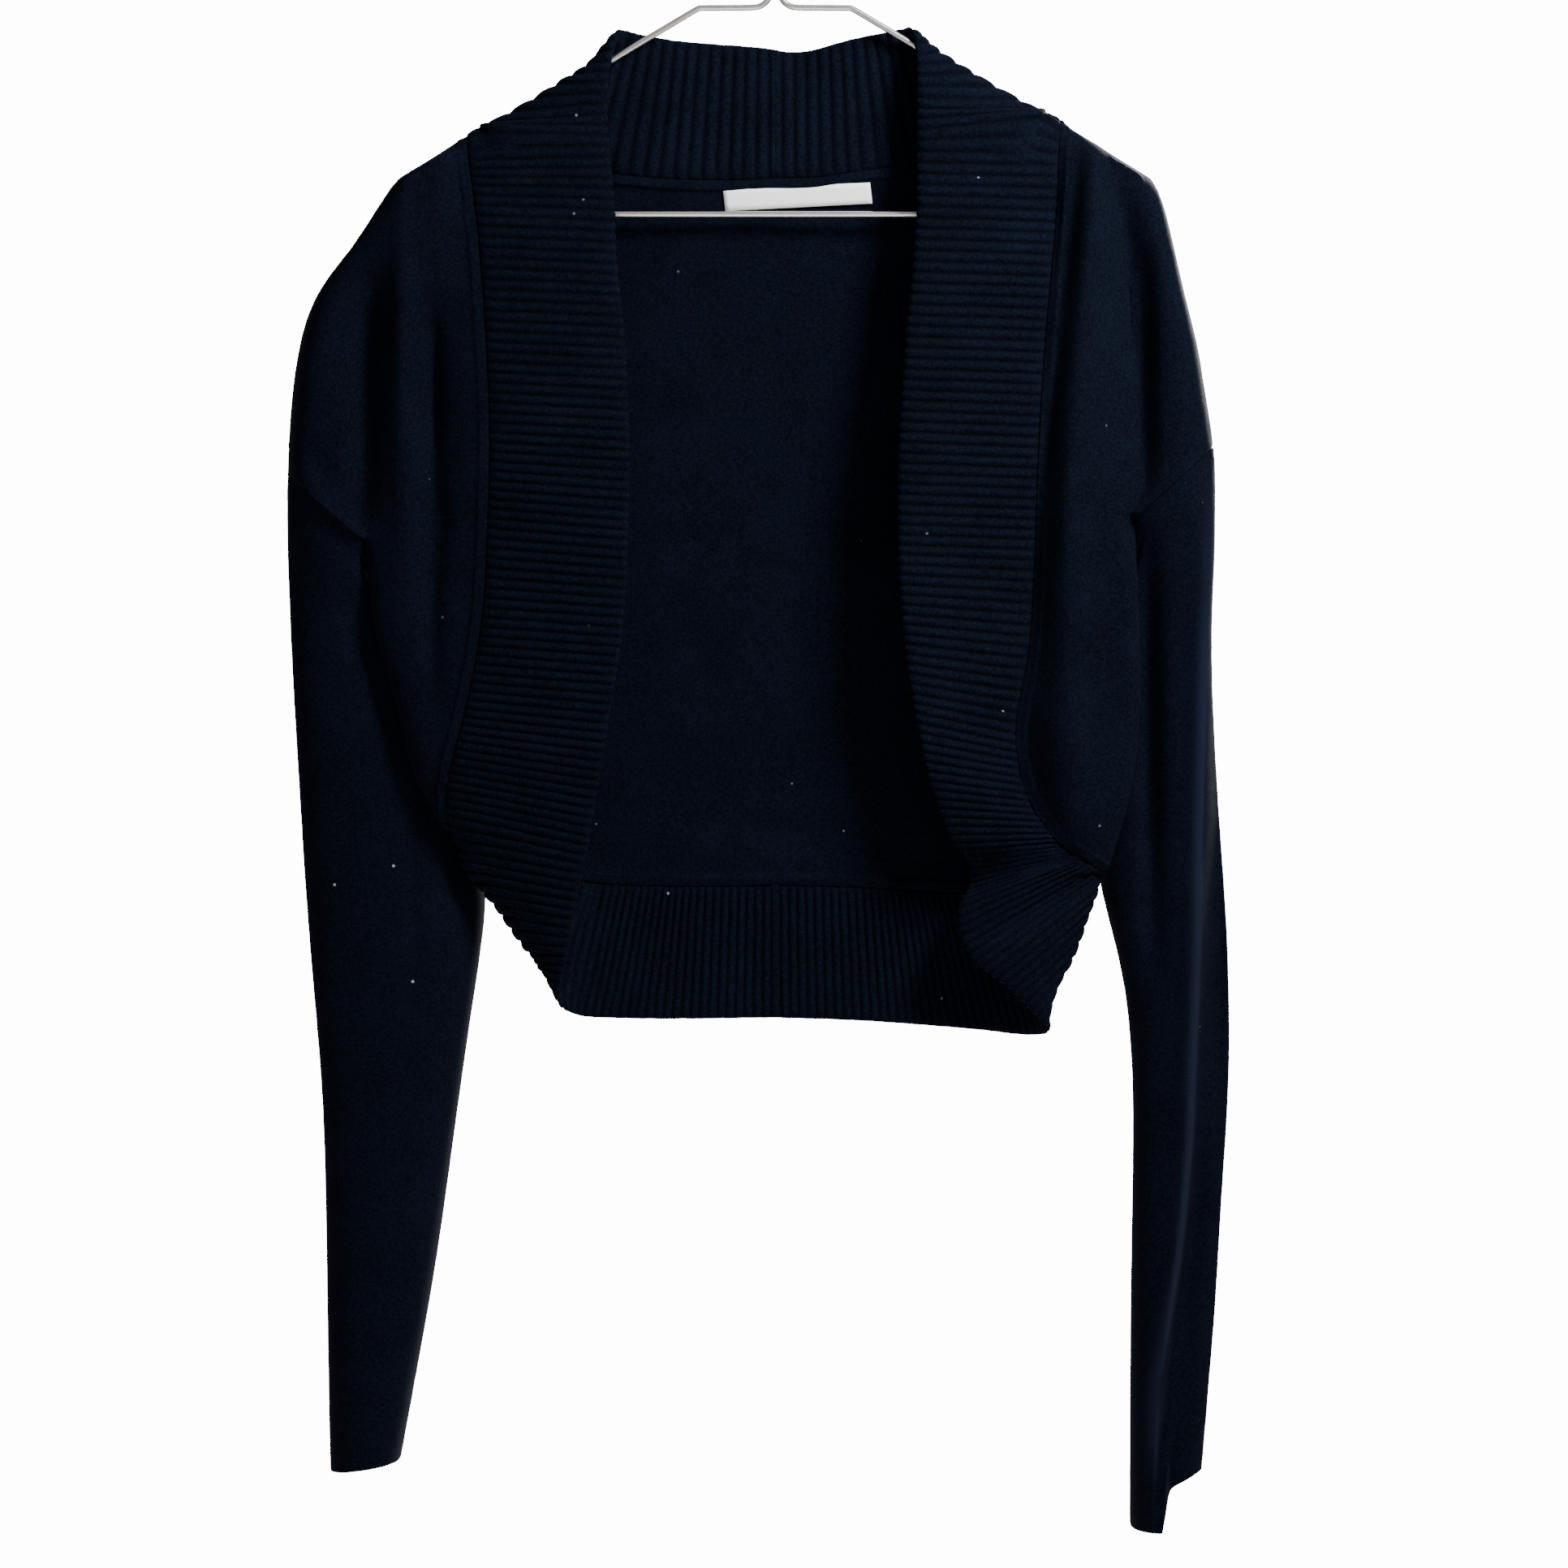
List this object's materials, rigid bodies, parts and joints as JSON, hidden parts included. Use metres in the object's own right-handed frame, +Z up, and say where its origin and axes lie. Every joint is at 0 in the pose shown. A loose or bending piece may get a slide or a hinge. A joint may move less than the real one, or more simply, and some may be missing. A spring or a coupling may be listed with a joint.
{
  "type": "cashmere cardigan on a wire hanger",
  "caption": "Cropped open cardigan in dark navy knit with a wide ribbed collar and front band, dropped shoulders and long narrow sleeves, hung on a bent wire hanger.",
  "frame": {"origin": "the inner top of the hanger's hook, where a rail carries it", "axes": "+Z up, -Y towards the garment's front, +X towards the wearer's left, which is on the right when it is seen from the front; left and right in the node names are as seen from the front"},
  "size_m": [0.4694, 0.0613, 0.8273],
  "materials": {
    "pale_steel": "satin, pale warm grey wire",
    "navy_rib": "matt, soft one-by-one rib in very dark navy cashmere",
    "navy_jersey": "matt, softly milled fine jersey in very dark navy cashmere",
    "white_tape": "matt, plain white woven tape, bare"
  },
  "bodies": {
    "root": {"hanger": "pale_steel", "band_left": "navy_rib", "band_right": "navy_rib", "front_panel_left": "navy_jersey", "front_panel_right": "navy_jersey", "back_panel": "navy_jersey", "sleeve_left": "navy_jersey", "sleeve_right": "navy_jersey", "neck_label": "white_tape"}
  },
  "joints": []
}
